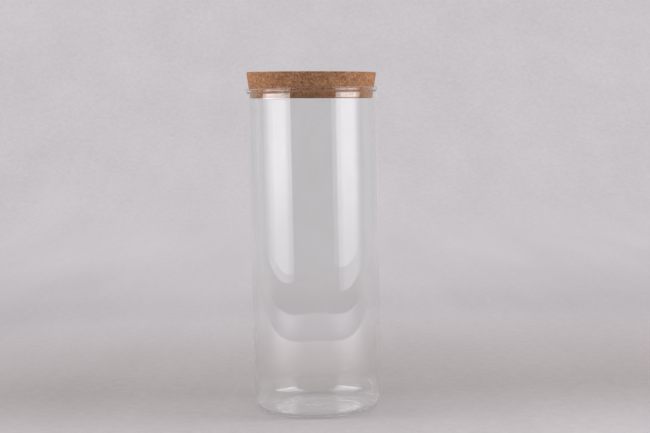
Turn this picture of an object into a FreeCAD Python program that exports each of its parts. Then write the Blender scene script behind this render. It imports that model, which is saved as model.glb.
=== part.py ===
import FreeCAD, Part
import math
import os

# Tall clear glass storage jar with a tapered cork stopper.
# All sizes are in millimetres. The jar stands on Z = 0 with its axis on Z, and the side seen from the front
# faces -Y.

# Glass tube
tube_outer_d = 100.0
tube_wall = 1.7
glass_height = 250.5

# Closed base: a rounded heel, a flat foot ring and an underside that rises a little to its centre. The floor
# is level, with a low swelling in the middle where the end of the tube was sealed.
base_thickness = 2.2
heel_radius = 9.5
inner_heel_radius = 7.0
foot_width = 3.0
centre_rise = 0.4
centre_slope_width = 22.5
seal_d = 18.0
seal_height = 0.35
seal_edge_width = 3.5

# Mouth: the wall bends outwards and upright again, and ends in a fire-polished half round, a little thicker
# than the wall
lip_flare = 0.9
lip_bead = 0.3
flare_height = 3.0

# Agglomerated cork stopper, pushed in slightly askew
stopper_height = 20.0
stopper_above_lip = 12.0
stopper_taper_deg = 8.2
stopper_chamfer = 0.5
stopper_tilt_deg = 1.2
stopper_clearance = 0.25

# Derived sizes
tube_r = tube_outer_d / 2
bore_r = tube_r - tube_wall
lip_r = (tube_wall + lip_bead) / 2
lip_middle_r = tube_r + lip_flare - lip_r
lip_middle_z = glass_height - lip_r
flare_z = lip_middle_z - flare_height
lip_opening = lip_middle_r - lip_r - bore_r
foot_outer_r = tube_r - heel_radius
foot_inner_r = foot_outer_r - foot_width
centre_r = foot_inner_r - centre_slope_width
seal_r = seal_d / 2
seal_flat_r = seal_r - seal_edge_width
seal_z = base_thickness + seal_height

ORIGIN = FreeCAD.Vector(0, 0, 0)
OUTWARD = FreeCAD.Vector(1, 0, 0)
UP = FreeCAD.Vector(0, 0, 1)


def at(radius, z):
    """A point of a half section, which lies in the XZ plane."""
    return FreeCAD.Vector(radius, 0, z)


def line(start, end):
    return Part.LineSegment(start, end).toShape()


def arc(start, middle, end):
    return Part.Arc(start, middle, end).toShape()


def round_arc(centre, radius, start_angle, end_angle):
    """Part of a circle, between two angles in radians from the outward direction towards +Z."""
    angles = (start_angle, (start_angle + end_angle) / 2, end_angle)
    return arc(*[centre + at(radius * math.cos(a), radius * math.sin(a)) for a in angles])


def s_bend_r(run, offset):
    """The radius of two equal arcs that lead a line sideways by the offset over the length of the run."""
    return (run ** 2 + offset ** 2) / (4 * offset)


def s_bend(start, end, along):
    """Two equal arcs from start to end that run in the given direction at both ends."""
    step = end - start
    run = step.dot(along)
    side = step - along * run
    offset = side.Length
    half_turn = math.atan2(offset, run)
    bend_r = s_bend_r(run, offset)
    lead = along * (bend_r * math.sin(half_turn)) + side * (bend_r * (1 - math.cos(half_turn)) / offset)
    middle = (start + end) * 0.5
    return [arc(start, start + lead, middle), arc(middle, end - lead, end)]


def turned(edges):
    """The solid that a closed half section sweeps round the Z axis."""
    section = Part.Face(Part.Wire(edges))
    return section.revolve(ORIGIN, UP, 360)


def underside():
    """From the axis to the foot ring: the raised centre and its slope."""
    return [
        line(at(0, centre_rise), at(centre_r, centre_rise)),
        line(at(centre_r, centre_rise), at(foot_inner_r, 0)),
    ]


def outer_wall():
    """From the foot ring round the heel, up the tube and out over the flare."""
    heel_middle = at(foot_outer_r, heel_radius)
    return [
        line(at(foot_inner_r, 0), at(foot_outer_r, 0)),
        round_arc(heel_middle, heel_radius, -math.pi / 2, 0),
        line(at(tube_r, heel_radius), at(tube_r, flare_z)),
        *s_bend(at(tube_r, flare_z), at(lip_middle_r + lip_r, lip_middle_z), UP),
    ]


def lip():
    """The half round that ends the flared wall, in four equal arcs."""
    middle = at(lip_middle_r, lip_middle_z)
    steps = [n * math.pi / 4 for n in range(5)]
    return [round_arc(middle, lip_r, a, b) for a, b in zip(steps, steps[1:])]


def bore_and_floor():
    """Down the flare and the bore, round the inner heel and over the floor and its seal to the axis."""
    heel_middle = at(bore_r - inner_heel_radius, base_thickness + inner_heel_radius)
    return [
        *s_bend(at(bore_r + lip_opening, lip_middle_z), at(bore_r, flare_z), -UP),
        line(at(bore_r, flare_z), at(bore_r, heel_middle.z)),
        round_arc(heel_middle, inner_heel_radius, 0, -math.pi / 2),
        line(at(heel_middle.x, base_thickness), at(seal_r, base_thickness)),
        *s_bend(at(seal_r, base_thickness), at(seal_flat_r, seal_z), -OUTWARD),
        line(at(seal_flat_r, seal_z), at(0, seal_z)),
        line(at(0, seal_z), at(0, centre_rise)),
    ]


def glass_jar():
    """One piece of glass: tube, closed base and flared mouth."""
    return turned(underside() + outer_wall() + lip() + bore_and_floor())


def cork_stopper():
    """One turned piece of cork, whose taper passes the glass all round at the clearance."""
    taper = math.radians(stopper_taper_deg)
    bottom_z = glass_height + stopper_above_lip - stopper_height
    # The taper's radius level with the middle of the lip, where it passes the lip's half round or the
    # flare's lower bend, whichever is the tighter. It is parallel to the line that touches them.
    bend_r = s_bend_r(flare_height, lip_opening)
    past_lip_r = lip_middle_r - (lip_r + stopper_clearance) / math.cos(taper)
    level_with_bend_r = bore_r + bend_r - (bend_r + stopper_clearance) / math.cos(taper)
    past_bend_r = level_with_bend_r + flare_height * math.tan(taper)
    seat_r = min(past_lip_r, past_bend_r)
    bottom_r = seat_r - (lip_middle_z - bottom_z) * math.tan(taper)
    top_r = bottom_r + stopper_height * math.tan(taper)
    corners = [
        at(0, 0),
        at(bottom_r - stopper_chamfer, 0),
        at(bottom_r + stopper_chamfer * math.tan(taper), stopper_chamfer),
        at(top_r - stopper_chamfer * math.tan(taper), stopper_height - stopper_chamfer),
        at(top_r - stopper_chamfer, stopper_height),
        at(0, stopper_height),
        at(0, 0),
    ]
    stopper = turned([line(a, b) for a, b in zip(corners, corners[1:])])
    stopper.translate(at(0, bottom_z))
    # The +X side goes deeper. The tilt moves the taper's level section sideways, and the shift centres it.
    stopper.rotate(at(0, lip_middle_z), FreeCAD.Vector(0, 1, 0), stopper_tilt_deg)
    shift = seat_r * math.tan(math.radians(stopper_tilt_deg)) * math.tan(taper)
    stopper.translate(at(-shift, 0))
    return stopper


def main():
    os.makedirs("parts", exist_ok=True)
    glass_jar().exportStep("parts/glass_jar.step")
    cork_stopper().exportStep("parts/cork_stopper.step")


main()
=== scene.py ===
import math

import bpy
from mathutils import Matrix, Vector, noise

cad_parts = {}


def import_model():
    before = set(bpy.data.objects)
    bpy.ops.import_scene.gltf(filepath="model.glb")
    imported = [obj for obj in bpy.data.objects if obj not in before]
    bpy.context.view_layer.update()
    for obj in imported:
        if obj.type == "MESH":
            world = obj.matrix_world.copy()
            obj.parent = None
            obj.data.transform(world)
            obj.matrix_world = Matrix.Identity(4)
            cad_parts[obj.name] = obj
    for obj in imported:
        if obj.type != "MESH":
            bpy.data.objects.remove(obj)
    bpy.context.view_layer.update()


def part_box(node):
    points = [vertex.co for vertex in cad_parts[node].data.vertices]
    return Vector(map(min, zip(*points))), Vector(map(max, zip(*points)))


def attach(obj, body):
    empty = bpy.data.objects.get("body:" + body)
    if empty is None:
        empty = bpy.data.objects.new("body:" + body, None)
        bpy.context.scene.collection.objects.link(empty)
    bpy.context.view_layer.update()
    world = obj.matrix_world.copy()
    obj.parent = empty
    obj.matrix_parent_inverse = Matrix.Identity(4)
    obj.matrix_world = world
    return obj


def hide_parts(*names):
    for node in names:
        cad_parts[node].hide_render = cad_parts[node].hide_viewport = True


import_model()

# Clear glass storage jar with a tapered cork stopper, in a plain pale studio.
# All sizes are in metres. The jar stands on Z = 0 with its axis on Z, and the camera looks along +Y.
# A value such as (0.94, 0.96) in a material is where a change starts and where it is complete.

# Camera
camera_distance = 1.1595
camera_height = 0.2423
camera_pitch = math.radians(4.54)
camera_yaw = math.radians(0.415)
camera_roll = math.radians(1.23)
camera_lens_mm = 82.52
camera_sensor_mm = 36.0

# Glass tube, as in the CAD model
tube_r = 0.050
tube_wall = 0.0017
glass_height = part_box("glass_jar")[1].z

# Closed base
base_thickness = 0.0022
heel_radius = 0.0095
inner_heel_radius = 0.007
foot_width = 0.003
centre_rise = 0.0004
centre_slope_width = 0.0225
seal_r = 0.009
seal_height = 0.00035
seal_edge_width = 0.0035

# Mouth. The outer side of the flare begins a little higher than the inner side.
lip_flare = 0.0009
lip_bead = 0.0003
flare_height = 0.003
outer_flare_height = 0.0026

# Cork stopper
stopper_height = 0.020
stopper_above_lip = 0.012
stopper_taper = math.radians(8.2)
stopper_chamfer = 0.0005
stopper_tilt = math.radians(1.2)
stopper_clearance = 0.00025

# Fineness of the meshes. The short step is a share of the steps next to it.
glass_segments = 288
cork_segments = 480
sweep_segments = 96
short_step = 0.04

# Derived sizes
bore_r = tube_r - tube_wall
lip_r = (tube_wall + lip_bead) / 2
lip_middle = (tube_r + lip_flare - lip_r, glass_height - lip_r)
flare_z = lip_middle[1] - flare_height
outer_flare_z = lip_middle[1] - outer_flare_height
foot_outer_r = tube_r - heel_radius
foot_inner_r = foot_outer_r - foot_width
centre_r = foot_inner_r - centre_slope_width
seal_flat_r = seal_r - seal_edge_width
seal_z = base_thickness + seal_height


# Half sections: lists of (radius, height) points

def round_points(centre, radius, start, end, steps):
    """Points along part of a circle, between two angles from the outward direction towards +Z."""
    angles = [start + (end - start) * n / steps for n in range(steps + 1)]
    return [(centre[0] + radius * math.cos(a), centre[1] + radius * math.sin(a)) for a in angles]


def s_bend(start, end, steps):
    """Points along two equal arcs that leave the start and reach the end level."""
    run = abs(end[0] - start[0])
    rise = end[1] - start[1]
    side = math.copysign(1, end[0] - start[0])
    bend_r = (run ** 2 + rise ** 2) / (4 * abs(rise))
    half_turn = math.atan2(abs(rise), run)
    points = []
    for n in range(2 * steps + 1):
        turn = 2 * half_turn * min(n, 2 * steps - n) / steps
        lead = bend_r * math.sin(turn)
        lift = math.copysign(bend_r * (1 - math.cos(turn)), rise)
        if n <= steps:
            points.append((start[0] + side * lead, start[1] + lift))
        else:
            points.append((end[0] - side * lead, end[1] - lift))
    return points


def upright_s_bend(start, end, steps):
    """The same for two arcs that leave the start and reach the end upright."""
    return [(radius, z) for z, radius in s_bend(start[::-1], end[::-1], steps)]


def part_way(start, end, share):
    return (start[0] + (end[0] - start[0]) * share, start[1] + (end[1] - start[1]) * share)


def between(start, end, steps):
    """Points along a straight line."""
    return [part_way(start, end, n / steps) for n in range(steps + 1)]


def between_bends(start, end, steps):
    """The same with a short step at each end, which keeps the smooth shading of the bends off the line."""
    points = between(start, end, steps)
    after_start = part_way(points[0], points[1], short_step)
    before_end = part_way(points[-1], points[-2], short_step)
    return [points[0], after_start, *points[1:-1], before_end, points[-1]]


def joined(*stretches):
    """One list of points, without the points that two stretches share."""
    points = []
    for stretch in stretches:
        for point in stretch:
            if not points or math.dist(points[-1], point) > 1e-7:
                points.append(point)
    return points


def linked(made):
    bpy.context.scene.collection.objects.link(made)
    return made


def turned_mesh(name, section, segments):
    """A smooth object made by turning a half section round Z. A point on the axis becomes one vertex."""
    vertices = []
    faces = []
    rings = []
    for radius, z in section:
        if radius < 1e-7:
            rings.append([len(vertices)] * segments)
            vertices.append((0, 0, z))
            continue
        rings.append(list(range(len(vertices), len(vertices) + segments)))
        for n in range(segments):
            a = 2 * math.pi * n / segments
            vertices.append((radius * math.cos(a), radius * math.sin(a), z))
    for low, high in zip(rings, rings[1:]):
        for n in range(segments):
            m = (n + 1) % segments
            corners = [low[n], low[m], high[m], high[n]]
            faces.append(list(dict.fromkeys(corners)))
    mesh = bpy.data.meshes.new(name)
    mesh.from_pydata(vertices, [], faces)
    mesh.shade_smooth()
    return linked(bpy.data.objects.new(name, mesh))


# Node materials

def new_material(name):
    material = bpy.data.materials.new(name)
    material.use_nodes = True
    material.node_tree.nodes.clear()
    return material


def put_on(made, material):
    made.data.materials.clear()
    made.data.materials.append(material)


def add_node(tree, kind, inputs=None, **settings):
    """A node whose inputs take plain values or the outputs of other nodes."""
    made = tree.nodes.new(kind)
    for key, value in settings.items():
        setattr(made, key, value)
    for key, value in (inputs or {}).items():
        if isinstance(value, bpy.types.NodeSocket):
            tree.links.new(value, made.inputs[key])
        else:
            made.inputs[key].default_value = value
    return made


def maths(tree, operation, *values, clamp=False):
    made = add_node(tree, "ShaderNodeMath", dict(enumerate(values)), operation=operation, use_clamp=clamp)
    return made.outputs[0]


def vector_maths(tree, operation, *values):
    made = add_node(tree, "ShaderNodeVectorMath", dict(enumerate(values)), operation=operation)
    return made.outputs[0]


def scaled(tree, vector, factor):
    made = add_node(tree, "ShaderNodeVectorMath", {0: vector, "Scale": factor}, operation="SCALE")
    return made.outputs[0]


def length(tree, *axes):
    """The length of the vector with the given parts."""
    vector = add_node(tree, "ShaderNodeCombineXYZ", dict(enumerate(axes))).outputs[0]
    return add_node(tree, "ShaderNodeVectorMath", {0: vector}, operation="LENGTH").outputs["Value"]


def axes_of(tree, vector):
    return add_node(tree, "ShaderNodeSeparateXYZ", {0: vector}).outputs


def smooth_step(tree, value, start, end):
    """0 before the start, 1 after the end."""
    inputs = {"Value": value, "From Min": start, "From Max": end}
    made = add_node(tree, "ShaderNodeMapRange", inputs, interpolation_type="SMOOTHSTEP")
    return made.outputs["Result"]


def eased(tree, value, start, end, from_value, to_value):
    """From one value before the start to another after the end."""
    share = smooth_step(tree, value, start, end)
    return maths(tree, "ADD", maths(tree, "MULTIPLY", share, to_value - from_value), from_value)


def swing(tree, vector, scale, detail, roughness, amount):
    """Smooth noise either side of 0, as strong as the amount."""
    inputs = {"Vector": vector, "Scale": scale, "Detail": detail, "Roughness": roughness}
    waves = add_node(tree, "ShaderNodeTexNoise", inputs).outputs[0]
    return maths(tree, "MULTIPLY", maths(tree, "SUBTRACT", waves, 0.5), amount)


def cells(tree, vector, scale):
    """Voronoi cells: the outputs give the distance to a cell's middle and its random colour."""
    return add_node(tree, "ShaderNodeTexVoronoi", {"Vector": vector, "Scale": scale}).outputs


def part_of_colour(tree, colour, index):
    return add_node(tree, "ShaderNodeSeparateColor", {0: colour}).outputs[index]


def mixed_colour(tree, share, first, second):
    return add_node(tree, "ShaderNodeMix", {0: share, 6: first, 7: second}, data_type="RGBA").outputs[2]


def mixed_shader(tree, share, first, second):
    inputs = {0: share, 1: first.outputs[0], 2: second.outputs[0]}
    return add_node(tree, "ShaderNodeMixShader", inputs)


def colour_ramp(tree, value, stops):
    made = add_node(tree, "ShaderNodeValToRGB", {"Fac": value})
    ramp = made.color_ramp
    while len(ramp.elements) < len(stops):
        ramp.elements.new(0.5)
    for element, (place, colour) in zip(ramp.elements, stops):
        element.position = place
        element.color = colour
    return made.outputs["Color"]


def brightness_ramp(tree, value, stops):
    """A brightness that follows a list of (value, brightness) pairs, whose values go from 0 to 1."""
    peak = max(brightness for _, brightness in stops)
    ramp_stops = [(place, grey(brightness / peak)) for place, brightness in stops]
    return maths(tree, "MULTIPLY", colour_ramp(tree, value, ramp_stops), peak)


def tones_by(tree, distance, tones, level):
    """A colour that follows a list of (distance, colour) pairs, times the level."""
    reach = tones[-1][0]
    share = maths(tree, "DIVIDE", distance, reach, clamp=True)
    tone = colour_ramp(tree, share, [(place / reach, tone) for place, tone in tones])
    return scaled(tree, tone, level)


def srgb(red, green, blue):
    """A colour given as it shows on screen, 0 to 255, for a shader."""
    def linear(value):
        share = value / 255
        return share / 12.92 if share <= 0.04045 else ((share + 0.055) / 1.055) ** 2.4
    return (linear(red), linear(green), linear(blue), 1)


def grey(value):
    return (value, value, value, 1)


# Glass jar

glass_tint = (0.99, 0.993, 0.992, 1)
glass_ior = 1.47
draw_line_scale = (60, 60, 3)
draw_line_depth = 0.00002
lamp_light_passed = 0.97
lamp_light_lost_at_edge = 0.5


def jar_section():
    """From the axis under the base, round the heel, up the tube, over the lip and back down inside."""
    lip = round_points(lip_middle, lip_r, 0, math.pi, 24)
    inner_heel = (bore_r - inner_heel_radius, base_thickness + inner_heel_radius)
    return joined(
        between((0, centre_rise), (centre_r, centre_rise), 12),
        s_bend((centre_r, centre_rise), (foot_inner_r, 0), 24),
        between((foot_inner_r, 0), (foot_outer_r, 0), 4),
        round_points((foot_outer_r, heel_radius), heel_radius, -math.pi / 2, 0, 30),
        between_bends((tube_r, heel_radius), (tube_r, outer_flare_z), 24),
        upright_s_bend((tube_r, outer_flare_z), lip[0], 12),
        lip,
        upright_s_bend(lip[-1], (bore_r, flare_z), 12),
        between_bends((bore_r, flare_z), (bore_r, inner_heel[1]), 24),
        round_points(inner_heel, inner_heel_radius, 0, -math.pi / 2, 30),
        between((inner_heel[0], base_thickness), (seal_r, base_thickness), 40),
        s_bend((seal_r, base_thickness), (seal_flat_r, seal_z), 12),
        between((seal_flat_r, seal_z), (0, seal_z), 6),
    )


def clear_glass():
    """Clear glass with the faint long draw lines of tube. The lamps' light goes straight through it."""
    material = new_material("clear_glass")
    tree = material.node_tree
    coords = add_node(tree, "ShaderNodeTexCoord").outputs["Object"]
    drawn_out = vector_maths(tree, "MULTIPLY", coords, draw_line_scale)
    lines = add_node(tree, "ShaderNodeTexNoise", {"Vector": drawn_out, "Scale": 1.0, "Detail": 2.0})
    on_tube = smooth_step(tree, axes_of(tree, coords)["Z"], 0.0, heel_radius)
    height = maths(tree, "MULTIPLY", lines.outputs[0], on_tube)
    bump_inputs = {"Height": height, "Strength": 1.0, "Distance": draw_line_depth}
    bump = add_node(tree, "ShaderNodeBump", bump_inputs)
    glass = add_node(tree, "ShaderNodeBsdfPrincipled", {
        "Base Color": glass_tint,
        "Roughness": 0.0,
        "IOR": glass_ior,
        "Transmission Weight": 1.0,
        "Normal": bump.outputs[0],
    })
    facing = add_node(tree, "ShaderNodeLayerWeight", {"Blend": 0.5}).outputs["Facing"]
    lost = maths(tree, "MULTIPLY", maths(tree, "POWER", facing, 4.0), lamp_light_lost_at_edge)
    passed = maths(tree, "SUBTRACT", lamp_light_passed, lost, clamp=True)
    straight = add_node(tree, "ShaderNodeBsdfTransparent", {"Color": passed})
    path = add_node(tree, "ShaderNodeLightPath").outputs
    lamp_light = maths(tree, "MAXIMUM", path["Is Shadow Ray"], path["Is Diffuse Ray"])
    both = mixed_shader(tree, lamp_light, glass, straight)
    add_node(tree, "ShaderNodeOutputMaterial", {"Surface": both.outputs[0]})
    return material


def glass_jar():
    jar = turned_mesh("glass_jar_clear", jar_section(), glass_segments)
    put_on(jar, clear_glass())
    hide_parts("glass_jar")
    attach(jar, "jar")


# Cork stopper. The scales are the number of waves or cells to a metre.

pit_scale = 700
pit_start = 0.25
pit_depth = 0.00025
wave_scale = 110
wave_depth = 0.00008
granule_scale = 900.0
small_granule_scale = 2100.0
speck_scale = 560.0
speck_core = (0.38, 0.22)
speck_chosen = (0.94, 0.96)
bend_scale = 500.0
bend_reach = 0.0012
gap_width = (0.0, 0.12)
relief_depth = 0.0002
cork_tones = [
    (0.10, srgb(120, 77, 52)),
    (0.32, srgb(150, 105, 75)),
    (0.62, srgb(165, 119, 88)),
    (0.92, srgb(190, 146, 110)),
]
speck_colour = srgb(84, 52, 36)
# Painted shade: this tint darkens the cork where it stands inside the mouth, under the lip
painted_shade_inside_tint = (0.93, 0.86, 0.79)
painted_shade_inside_from = (glass_height + 0.001, glass_height - 0.002)


def cork_section():
    """From the axis under the stopper, up the tapered side and back to the axis on top, and its place."""
    seat_z = lip_middle[1]
    bottom_z = glass_height + stopper_above_lip - stopper_height
    slope = math.tan(stopper_taper)
    opening = lip_middle[0] - lip_r - bore_r
    bend_r = (flare_height ** 2 + opening ** 2) / (4 * opening)
    past_lip_r = lip_middle[0] - (lip_r + stopper_clearance) / math.cos(stopper_taper)
    level_with_bend_r = bore_r + bend_r - (bend_r + stopper_clearance) / math.cos(stopper_taper)
    past_bend_r = level_with_bend_r + flare_height * slope
    seat_r = min(past_lip_r, past_bend_r)
    bottom_r = seat_r - (seat_z - bottom_z) * slope
    top_r = bottom_r + stopper_height * slope
    low = (bottom_r + stopper_chamfer * slope, stopper_chamfer)
    high = (top_r - stopper_chamfer * slope, stopper_height - stopper_chamfer)
    section = joined(
        between((0, 0), (bottom_r - stopper_chamfer, 0), 26),
        between((bottom_r - stopper_chamfer, 0), low, 2),
        between(low, high, 38),
        between(high, (top_r - stopper_chamfer, stopper_height), 2),
        between((top_r - stopper_chamfer, stopper_height), (0, stopper_height), 40),
    )
    tilt = Matrix.Translation((0, 0, seat_z)) @ Matrix.Rotation(stopper_tilt, 4, "Y")
    shift = seat_r * math.tan(stopper_tilt) * slope
    place = Matrix.Translation((-shift, 0, 0)) @ tilt @ Matrix.Translation((0, 0, bottom_z - seat_z))
    return section, place


def roughen(cork):
    """Presses pits and shallow waves into the cork. Nothing moves outwards."""
    mesh = cork.data
    normals = [v.normal.copy() for v in mesh.vertices]
    for vertex, normal in zip(mesh.vertices, normals):
        point = vertex.co
        pits = max(0, noise.noise(point * pit_scale) - pit_start)
        waves = 0.5 + 0.5 * noise.noise(point * wave_scale)
        vertex.co = point - normal * (pit_depth * pits + wave_depth * waves)


def agglomerated_cork():
    """Pressed and sanded cork granules: each has its own brown, with a few dark specks among them.

    What stands inside the mouth is a darker brown than what stands above it: painted shade from the lip.
    """
    material = new_material("agglomerated_cork")
    tree = material.node_tree
    coords = add_node(tree, "ShaderNodeTexCoord").outputs["Object"]
    wander = add_node(tree, "ShaderNodeTexNoise", {"Vector": coords, "Scale": bend_scale, "Detail": 2.0})
    offset = vector_maths(tree, "SUBTRACT", wander.outputs["Color"], (0.5, 0.5, 0.5))
    bent = vector_maths(tree, "ADD", coords, scaled(tree, offset, bend_reach))
    granule_tone = part_of_colour(tree, cells(tree, bent, granule_scale)["Color"], 0)
    small_tone = part_of_colour(tree, cells(tree, bent, small_granule_scale)["Color"], 0)
    tone = maths(tree, "ADD", maths(tree, "MULTIPLY", granule_tone, 0.6),
                 maths(tree, "MULTIPLY", small_tone, 0.4))
    brown = colour_ramp(tree, tone, cork_tones)
    # Painted shade on the part of the cork inside the mouth
    inside = smooth_step(tree, axes_of(tree, coords)["Z"], *painted_shade_inside_from)
    brown = mixed_colour(tree, inside, brown, vector_maths(tree, "MULTIPLY", brown, painted_shade_inside_tint))
    specks = cells(tree, bent, speck_scale)
    core = smooth_step(tree, specks["Distance"], *speck_core)
    chosen = smooth_step(tree, part_of_colour(tree, specks["Color"], 1), *speck_chosen)
    colour = mixed_colour(tree, maths(tree, "MULTIPLY", core, chosen), brown, speck_colour)
    gap_inputs = {"Vector": bent, "Scale": granule_scale}
    gaps = add_node(tree, "ShaderNodeTexVoronoi", gap_inputs, feature="DISTANCE_TO_EDGE")
    gap = smooth_step(tree, gaps.outputs["Distance"], *gap_width)
    height = maths(tree, "ADD", gap, maths(tree, "MULTIPLY", small_tone, 0.5))
    bump = add_node(tree, "ShaderNodeBump", {"Height": height, "Strength": 0.6, "Distance": relief_depth})
    shader = add_node(tree, "ShaderNodeBsdfPrincipled", {
        "Base Color": colour,
        "Roughness": 0.85,
        "Specular IOR Level": 0.15,
        "Normal": bump.outputs[0],
    })
    add_node(tree, "ShaderNodeOutputMaterial", {"Surface": shader.outputs[0]})
    return material


def cork_stopper():
    section, place = cork_section()
    cork = turned_mesh("cork_stopper_granular", section, cork_segments)
    roughen(cork)
    cork.data.transform(place)
    put_on(cork, agglomerated_cork())
    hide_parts("cork_stopper")
    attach(cork, "stopper")


# Studio: a pale sweep, a plain room and two softboxes that only reflections show, and two lamps

# Sweep: flat round the jar, and bent up into a backdrop
sweep_flat_r = 1.6
sweep_bend_r = 1.0
sweep_height = 3.0

# Its tones, by the distance from a strip of painted shade just behind the jar. They change faster in front
# of the strip and slower along it. Near the jar the lamps light the sheet, and further off it glows
# evenly.
near_tones = [
    (0.0, srgb(173, 166, 167)),
    (0.06, srgb(174, 167, 168)),
    (0.19, srgb(183, 176, 178)),
    (0.28, srgb(190, 184, 187)),
    (0.38, srgb(196, 191, 194)),
    (0.8, srgb(200, 196, 199)),
]
far_tones = [
    (0.0, srgb(190, 184, 187)),
    (0.38, srgb(194, 188, 191)),
    (0.6, srgb(198, 193, 196)),
    (0.9, srgb(200, 196, 199)),
    (1.3, srgb(201, 197, 200)),
]
painted_shade_strip_y = 0.09
front_stretch = 1.75
side_squeeze = 0.25
glow_from = (0.45, 0.8)

# Painted shade: it darkens a little to the sides, except on the backdrop
side_shade = 0.6
side_shade_limit = 0.07
side_shade_until = (0.7, 1.3)

# Large clouds, drawn out in depth, and a fine grain
cloud_strength = 0.18
cloud_scale = 8.0
cloud_stretch = (1, 0.16, 1)
grain_strength = 0.24
grain_scale = 120.0

# In reflections the sheet in front of the jar has painted light: it is brighter, most of all under the
# softboxes, and it ends at the rounded front edge of a table
mirrored_painted_light = 0.85
mirrored_painted_light_beside = 2.2
mirrored_painted_light_from = (0.12, 0.32)
mirrored_beside_from = (0.12, 0.28)
mirrored_front_from = (0.06, -0.22)
table_front = 0.42
table_front_curve = 1.5
table_front_edge = (-0.01, 0.01)

# World and room
backdrop = srgb(200, 195, 198)
ambient = grey(0.47)
room_front = grey(0.13)
room_back = grey(0.50)
room_change = (-0.3, 0.3)

# Softboxes: each stands between two floor points, given as (angle from the jar's front, distance)
softbox_left = ((-38, 0.90), (-96, 1.27))
softbox_right = ((42, 0.80), (92, 1.12))
softbox_height = 3.0
softbox_colour = (1.0, 0.99, 1.03, 1)
softbox_foot = 1.45
softbox_low = 2.4
softbox_high = 7.2
softbox_low_z = (0.0, 0.2)
softbox_high_z = (0.2420, 0.2440)
softbox_fade_z = (0.27, 0.50)
softbox_fade = 0.2
softbox_across = [(0.0, 0.55), (0.10, 0.6), (0.18, 1.0), (0.72, 1.0), (0.80, 0.6), (1.0, 0.4)]

# Lamps: each covers its softbox from the start share to the far end
lamp_left = 4.4
lamp_right = 5.3
lamp_start = 0.35
lamp_height = 1.5


def stage_piece(made, material):
    put_on(made, material)
    made.visible_diffuse = False
    made.visible_shadow = False


def is_reflection(tree):
    """1 on a path that some surface has mirrored, 0 on one that only went through glass."""
    path = add_node(tree, "ShaderNodeLightPath").outputs
    mirrored = maths(tree, "GREATER_THAN", path["Glossy Depth"], 0.5)
    return maths(tree, "MULTIPLY", mirrored, maths(tree, "LESS_THAN", path["Diffuse Depth"], 0.5))


def sheet_level(tree, place, distance):
    """The factor on the sheet's tones: painted shade to the sides, clouds, grain and painted light in
    reflections.
    """
    axes = axes_of(tree, place)
    # Painted shade towards the sides of the sheet
    fall = maths(tree, "MULTIPLY", maths(tree, "POWER", axes["X"], 2.0), side_shade)
    fall = maths(tree, "MULTIPLY", maths(tree, "MINIMUM", fall, side_shade_limit),
                 eased(tree, distance, *side_shade_until, 1.0, 0.0))
    drawn_out = vector_maths(tree, "MULTIPLY", place, cloud_stretch)
    clouds = swing(tree, drawn_out, cloud_scale, 5.0, 0.65, cloud_strength)
    grain = swing(tree, place, grain_scale, 4.0, 0.7, grain_strength)
    plain = maths(tree, "ADD", maths(tree, "ADD", 1.0, clouds), grain)
    # Painted light: the sheet is brighter in reflections, most of all under the softboxes
    beside = maths(tree, "ABSOLUTE", axes["X"])
    gain = eased(tree, beside, *mirrored_beside_from, mirrored_painted_light, mirrored_painted_light_beside)
    gain = maths(tree, "MULTIPLY", smooth_step(tree, distance, *mirrored_painted_light_from), gain)
    gain = maths(tree, "MULTIPLY", gain, smooth_step(tree, axes["Y"], *mirrored_front_from))
    gain = maths(tree, "MULTIPLY", is_reflection(tree), gain)
    return maths(tree, "ADD", maths(tree, "SUBTRACT", plain, fall), gain)


def sweep_material():
    """Pale sheet: it takes shadows near the jar, is evenly bright further off and clear from below."""
    material = new_material("pale_sweep")
    tree = material.node_tree
    geometry = add_node(tree, "ShaderNodeNewGeometry").outputs
    axes = axes_of(tree, geometry["Position"])
    distance = length(tree, axes["X"], axes["Y"])
    # Painted shade: the sheet's tones are darkest along a strip just behind the jar
    behind = maths(tree, "SUBTRACT", axes["Y"], painted_shade_strip_y)
    along = maths(tree, "MAXIMUM", behind, maths(tree, "MULTIPLY", behind, -front_stretch))
    distance_from_shade_strip = length(tree, maths(tree, "MULTIPLY", axes["X"], side_squeeze), along)
    level = sheet_level(tree, geometry["Position"], distance)
    near_colour = tones_by(tree, distance_from_shade_strip, near_tones, level)
    far_colour = tones_by(tree, distance_from_shade_strip, far_tones, level)
    sheet = add_node(tree, "ShaderNodeBsdfDiffuse", {"Color": near_colour})
    even = add_node(tree, "ShaderNodeEmission", {"Color": far_colour})
    pale = mixed_shader(tree, smooth_step(tree, distance, *glow_from), sheet, even)
    curve = maths(tree, "MULTIPLY", maths(tree, "POWER", axes["X"], 2.0), table_front_curve)
    front_y = maths(tree, "SUBTRACT", curve, table_front)
    past_front = smooth_step(tree, maths(tree, "SUBTRACT", front_y, axes["Y"]), *table_front_edge)
    hidden = maths(tree, "MULTIPLY", is_reflection(tree), past_front)
    unseen = maths(tree, "MAXIMUM", hidden, geometry["Backfacing"])
    clear = add_node(tree, "ShaderNodeBsdfTransparent")
    both = mixed_shader(tree, unseen, pale, clear)
    add_node(tree, "ShaderNodeOutputMaterial", {"Surface": both.outputs[0]})
    material.cycles.emission_sampling = "NONE"
    return material


def sweep():
    """The section runs from the top edge inwards, so that the faces point up."""
    wall_r = sweep_flat_r + sweep_bend_r
    flat = between((0, 0), (sweep_flat_r, 0), 16)
    bend = round_points((sweep_flat_r, sweep_bend_r), sweep_bend_r, -math.pi / 2, 0, 24)
    wall = between((wall_r, sweep_bend_r), (wall_r, sweep_height), 4)
    from_edge = joined(flat, bend, wall)[::-1]
    stage_piece(turned_mesh("sweep", from_edge, sweep_segments), sweep_material())


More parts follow.
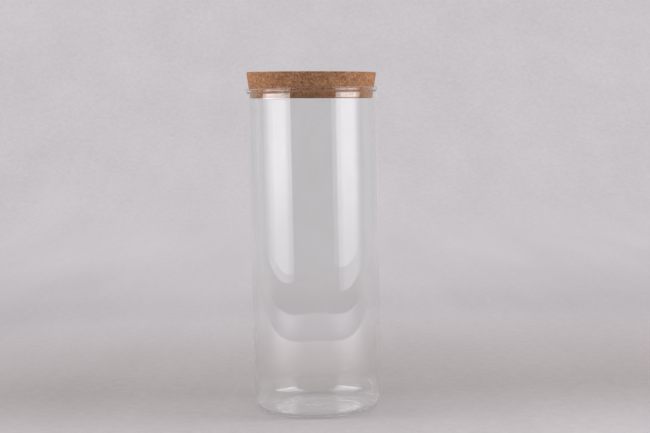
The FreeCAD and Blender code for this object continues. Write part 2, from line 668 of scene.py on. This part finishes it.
def world():
    """Even light all round. Mirrored paths see a plain room: dim in front of the jar, paler behind it."""
    made = bpy.data.worlds.new("studio")
    bpy.context.scene.world = made
    made.use_nodes = True
    tree = made.node_tree
    tree.nodes.clear()
    direction = add_node(tree, "ShaderNodeTexCoord").outputs["Generated"]
    behind = smooth_step(tree, axes_of(tree, direction)["Y"], *room_change)
    room = colour_ramp(tree, behind, [(0.0, room_front), (1.0, room_back)])
    path = add_node(tree, "ShaderNodeLightPath").outputs
    lit = mixed_colour(tree, path["Is Diffuse Ray"], backdrop, ambient)
    shown = mixed_colour(tree, is_reflection(tree), lit, room)
    background = add_node(tree, "ShaderNodeBackground", {"Color": shown})
    add_node(tree, "ShaderNodeOutputWorld", {"Surface": background.outputs[0]})


def softbox_material(near, far):
    """Lit cloth: dimmer at its upright edges and low down, brightest just above the camera's height."""
    material = new_material("softbox_front")
    tree = material.node_tree
    axes = axes_of(tree, add_node(tree, "ShaderNodeNewGeometry").outputs["Position"])
    low_part = eased(tree, axes["Z"], *softbox_low_z, softbox_foot, softbox_low)
    high_part = eased(tree, axes["Z"], *softbox_high_z, 0.0, softbox_high - softbox_low)
    faded = maths(tree, "MULTIPLY", high_part, eased(tree, axes["Z"], *softbox_fade_z, 1.0, softbox_fade))
    upward = maths(tree, "ADD", low_part, faded)
    across = maths(tree, "DIVIDE", maths(tree, "SUBTRACT", axes["X"], near.x), far.x - near.x)
    strength = maths(tree, "MULTIPLY", upward, brightness_ramp(tree, across, softbox_across))
    glow = add_node(tree, "ShaderNodeEmission", {"Color": softbox_colour, "Strength": strength})
    clear = add_node(tree, "ShaderNodeBsdfTransparent")
    both = mixed_shader(tree, is_reflection(tree), clear, glow)
    add_node(tree, "ShaderNodeOutputMaterial", {"Surface": both.outputs[0]})
    material.cycles.emission_sampling = "NONE"
    return material


def floor_point(angle_deg, distance):
    """A point on the floor, at an angle from the jar's front, positive to the right."""
    a = math.radians(angle_deg)
    return Vector((math.sin(a), -math.cos(a), 0)) * distance


def softbox(name, ends, lamp_radiance):
    """A lit upright sheet that only reflections show, and the lamp in its place."""
    near, far = (floor_point(*end) for end in ends)
    up = Vector((0, 0, softbox_height))
    mesh = bpy.data.meshes.new(name)
    mesh.from_pydata([near, far, far + up, near + up], [], [(0, 1, 2, 3)])
    stage_piece(linked(bpy.data.objects.new(name, mesh)), softbox_material(near, far))
    lamp(name + "_lamp", near.lerp(far, lamp_start), far, lamp_radiance)


def lamp(name, near, far, radiance):
    """An upright lamp that faces the jar, and that neither the camera nor a reflection sees."""
    width = (far - near).length
    light = bpy.data.lights.new(name, "AREA")
    light.shape = "RECTANGLE"
    light.size = width
    light.size_y = lamp_height
    light.energy = radiance * math.pi * width * lamp_height
    made = linked(bpy.data.objects.new(name, light))
    middle = (near + far) / 2 + Vector((0, 0, lamp_height / 2))
    across = far - near
    inward = Vector((-across.y, across.x, 0))
    if inward.dot(middle) > 0:
        inward = -inward
    made.matrix_world = Matrix.Translation(middle) @ inward.to_track_quat("-Z", "Y").to_matrix().to_4x4()
    made.visible_camera = False
    made.visible_glossy = False
    made.visible_transmission = False


def camera():
    data = bpy.data.cameras.new("camera")
    data.lens = camera_lens_mm
    data.sensor_width = camera_sensor_mm
    data.clip_start = 0.01
    data.clip_end = 20
    made = linked(bpy.data.objects.new("camera", data))
    yaw = Matrix.Rotation(-camera_yaw, 4, "Z")
    pitch = Matrix.Rotation(math.pi / 2 - camera_pitch, 4, "X")
    roll = Matrix.Rotation(-camera_roll, 4, "Z")
    made.matrix_world = Matrix.Translation((0, -camera_distance, camera_height)) @ yaw @ pitch @ roll
    bpy.context.scene.camera = made


def render_settings():
    scene = bpy.context.scene
    scene.view_settings.view_transform = "Standard"
    scene.cycles.max_bounces = 64
    scene.cycles.transmission_bounces = 64
    scene.cycles.glossy_bounces = 64
    scene.cycles.diffuse_bounces = 3
    scene.cycles.transparent_max_bounces = 24


glass_jar()
cork_stopper()
sweep()
world()
softbox("softbox_left", softbox_left, lamp_left)
softbox("softbox_right", softbox_right, lamp_right)
camera()
render_settings()
